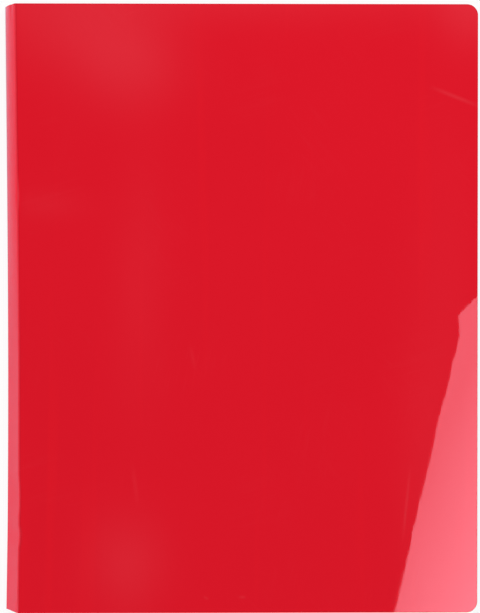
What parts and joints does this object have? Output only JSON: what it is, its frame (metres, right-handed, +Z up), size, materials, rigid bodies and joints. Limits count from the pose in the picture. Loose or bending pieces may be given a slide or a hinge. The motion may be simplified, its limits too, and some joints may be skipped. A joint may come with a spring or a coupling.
{
  "type": "document folder",
  "caption": "A4 display book: a glossy red creased plastic cover that opens flat, with clear top-loading pockets welded to its spine.",
  "frame": {"origin": "on the ground, at the middle of the closed book", "axes": "+X from the spine to the fore-edges, +Y along the spine to the open tops of the pockets, +Z up through the closed covers"},
  "size_m": [0.242, 0.31, 0.017],
  "materials": {
    "cover_sheet": "glossy polypropylene sheet, through-coloured red",
    "pocket_film": "clear lightly embossed film",
    "binding_strip": "milky welded film"
  },
  "bodies": {
    "back_cover": {"back_cover": "cover_sheet", "back_hinge_web": "cover_sheet"},
    "spine": {"spine_panel": "cover_sheet", "front_hinge_web": "cover_sheet", "pocket_binding_strip": "binding_strip"},
    "front_cover": {"front_cover": "cover_sheet"},
    "pocket_01": {"pocket_01": "pocket_film"},
    "pocket_02": {"pocket_02": "pocket_film"},
    "pocket_03": {"pocket_03": "pocket_film"},
    "pocket_04": {"pocket_04": "pocket_film"},
    "pocket_05": {"pocket_05": "pocket_film"},
    "pocket_06": {"pocket_06": "pocket_film"},
    "pocket_07": {"pocket_07": "pocket_film"},
    "pocket_08": {"pocket_08": "pocket_film"},
    "pocket_09": {"pocket_09": "pocket_film"},
    "pocket_10": {"pocket_10": "pocket_film"},
    "pocket_11": {"pocket_11": "pocket_film"},
    "pocket_12": {"pocket_12": "pocket_film"},
    "pocket_13": {"pocket_13": "pocket_film"},
    "pocket_14": {"pocket_14": "pocket_film"},
    "pocket_15": {"pocket_15": "pocket_film"},
    "pocket_16": {"pocket_16": "pocket_film"},
    "pocket_17": {"pocket_17": "pocket_film"},
    "pocket_18": {"pocket_18": "pocket_film"},
    "pocket_19": {"pocket_19": "pocket_film"},
    "pocket_20": {"pocket_20": "pocket_film"}
  },
  "joints": [
    {"name": "back_fold", "type": "hinge", "parent": "back_cover", "child": "spine", "pos_m": [-0.12061, 0, 0.00103], "axis": [0, -1, 0], "range_deg": [0, 112], "deforming": ["back_hinge_web"]},
    {"name": "front_fold", "type": "hinge", "parent": "spine", "child": "front_cover", "pos_m": [-0.11478, 0, 0.0163], "axis": [0, -1, 0], "range_deg": [0, 68.73], "deforming": ["front_hinge_web"]},
    {"name": "pocket_01_turn", "type": "hinge", "parent": "spine", "child": "pocket_01", "pos_m": [-0.11819, 0, 0.00307], "axis": [0, -1, 0], "range_deg": [-111.52, 0]},
    {"name": "pocket_02_turn", "type": "hinge", "parent": "spine", "child": "pocket_02", "pos_m": [-0.11746, 0, 0.00364], "axis": [0, -1, 0], "range_deg": [-111.53, 0]},
    {"name": "pocket_03_turn", "type": "hinge", "parent": "spine", "child": "pocket_03", "pos_m": [-0.11673, 0, 0.00421], "axis": [0, -1, 0], "range_deg": [-111.54, 0]},
    {"name": "pocket_04_turn", "type": "hinge", "parent": "spine", "child": "pocket_04", "pos_m": [-0.116, 0, 0.00478], "axis": [0, -1, 0], "range_deg": [-111.55, 0]},
    {"name": "pocket_05_turn", "type": "hinge", "parent": "spine", "child": "pocket_05", "pos_m": [-0.11528, 0, 0.00535], "axis": [0, -1, 0], "range_deg": [-111.57, 0]},
    {"name": "pocket_06_turn", "type": "hinge", "parent": "spine", "child": "pocket_06", "pos_m": [-0.11455, 0, 0.00592], "axis": [0, -1, 0], "range_deg": [-111.58, 0]},
    {"name": "pocket_07_turn", "type": "hinge", "parent": "spine", "child": "pocket_07", "pos_m": [-0.11382, 0, 0.0065], "axis": [0, -1, 0], "range_deg": [-111.59, 0]},
    {"name": "pocket_08_turn", "type": "hinge", "parent": "spine", "child": "pocket_08", "pos_m": [-0.11309, 0, 0.00707], "axis": [0, -1, 0], "range_deg": [-111.6, 0]},
    {"name": "pocket_09_turn", "type": "hinge", "parent": "spine", "child": "pocket_09", "pos_m": [-0.11236, 0, 0.00764], "axis": [0, -1, 0], "range_deg": [-111.61, 0]},
    {"name": "pocket_10_turn", "type": "hinge", "parent": "spine", "child": "pocket_10", "pos_m": [-0.11163, 0, 0.00821], "axis": [0, -1, 0], "range_deg": [-111.62, 0]},
    {"name": "pocket_11_turn", "type": "hinge", "parent": "spine", "child": "pocket_11", "pos_m": [-0.1114, 0, 0.00879], "axis": [0, -1, 0], "range_deg": [0, 68.37]},
    {"name": "pocket_12_turn", "type": "hinge", "parent": "spine", "child": "pocket_12", "pos_m": [-0.11167, 0, 0.00937], "axis": [0, -1, 0], "range_deg": [0, 68.36]},
    {"name": "pocket_13_turn", "type": "hinge", "parent": "spine", "child": "pocket_13", "pos_m": [-0.11193, 0, 0.00995], "axis": [0, -1, 0], "range_deg": [0, 68.35]},
    {"name": "pocket_14_turn", "type": "hinge", "parent": "spine", "child": "pocket_14", "pos_m": [-0.11219, 0, 0.01053], "axis": [0, -1, 0], "range_deg": [0, 68.33]},
    {"name": "pocket_15_turn", "type": "hinge", "parent": "spine", "child": "pocket_15", "pos_m": [-0.11246, 0, 0.01111], "axis": [0, -1, 0], "range_deg": [0, 68.32]},
    {"name": "pocket_16_turn", "type": "hinge", "parent": "spine", "child": "pocket_16", "pos_m": [-0.11272, 0, 0.01168], "axis": [0, -1, 0], "range_deg": [0, 68.31]},
    {"name": "pocket_17_turn", "type": "hinge", "parent": "spine", "child": "pocket_17", "pos_m": [-0.11298, 0, 0.01226], "axis": [0, -1, 0], "range_deg": [0, 68.3]},
    {"name": "pocket_18_turn", "type": "hinge", "parent": "spine", "child": "pocket_18", "pos_m": [-0.11325, 0, 0.01284], "axis": [0, -1, 0], "range_deg": [0, 68.29]},
    {"name": "pocket_19_turn", "type": "hinge", "parent": "spine", "child": "pocket_19", "pos_m": [-0.11351, 0, 0.01342], "axis": [0, -1, 0], "range_deg": [0, 68.28]},
    {"name": "pocket_20_turn", "type": "hinge", "parent": "spine", "child": "pocket_20", "pos_m": [-0.11378, 0, 0.014], "axis": [0, -1, 0], "range_deg": [0, 68.27]}
  ],
  "couplings": [
    {"joint": "pocket_01_turn", "follows": "back_fold", "ratio": -0.99571},
    {"joint": "pocket_02_turn", "follows": "back_fold", "ratio": -0.99582},
    {"joint": "pocket_03_turn", "follows": "back_fold", "ratio": -0.99592},
    {"joint": "pocket_04_turn", "follows": "back_fold", "ratio": -0.99602},
    {"joint": "pocket_05_turn", "follows": "back_fold", "ratio": -0.99612},
    {"joint": "pocket_06_turn", "follows": "back_fold", "ratio": -0.99622},
    {"joint": "pocket_07_turn", "follows": "back_fold", "ratio": -0.99632},
    {"joint": "pocket_08_turn", "follows": "back_fold", "ratio": -0.99642},
    {"joint": "pocket_09_turn", "follows": "back_fold", "ratio": -0.99652},
    {"joint": "pocket_10_turn", "follows": "back_fold", "ratio": -0.99662},
    {"joint": "pocket_11_turn", "follows": "front_fold", "ratio": 0.99472},
    {"joint": "pocket_12_turn", "follows": "front_fold", "ratio": 0.99455},
    {"joint": "pocket_13_turn", "follows": "front_fold", "ratio": 0.99439},
    {"joint": "pocket_14_turn", "follows": "front_fold", "ratio": 0.99423},
    {"joint": "pocket_15_turn", "follows": "front_fold", "ratio": 0.99406},
    {"joint": "pocket_16_turn", "follows": "front_fold", "ratio": 0.9939},
    {"joint": "pocket_17_turn", "follows": "front_fold", "ratio": 0.99373},
    {"joint": "pocket_18_turn", "follows": "front_fold", "ratio": 0.99357},
    {"joint": "pocket_19_turn", "follows": "front_fold", "ratio": 0.9934},
    {"joint": "pocket_20_turn", "follows": "front_fold", "ratio": 0.99324}
  ]
}
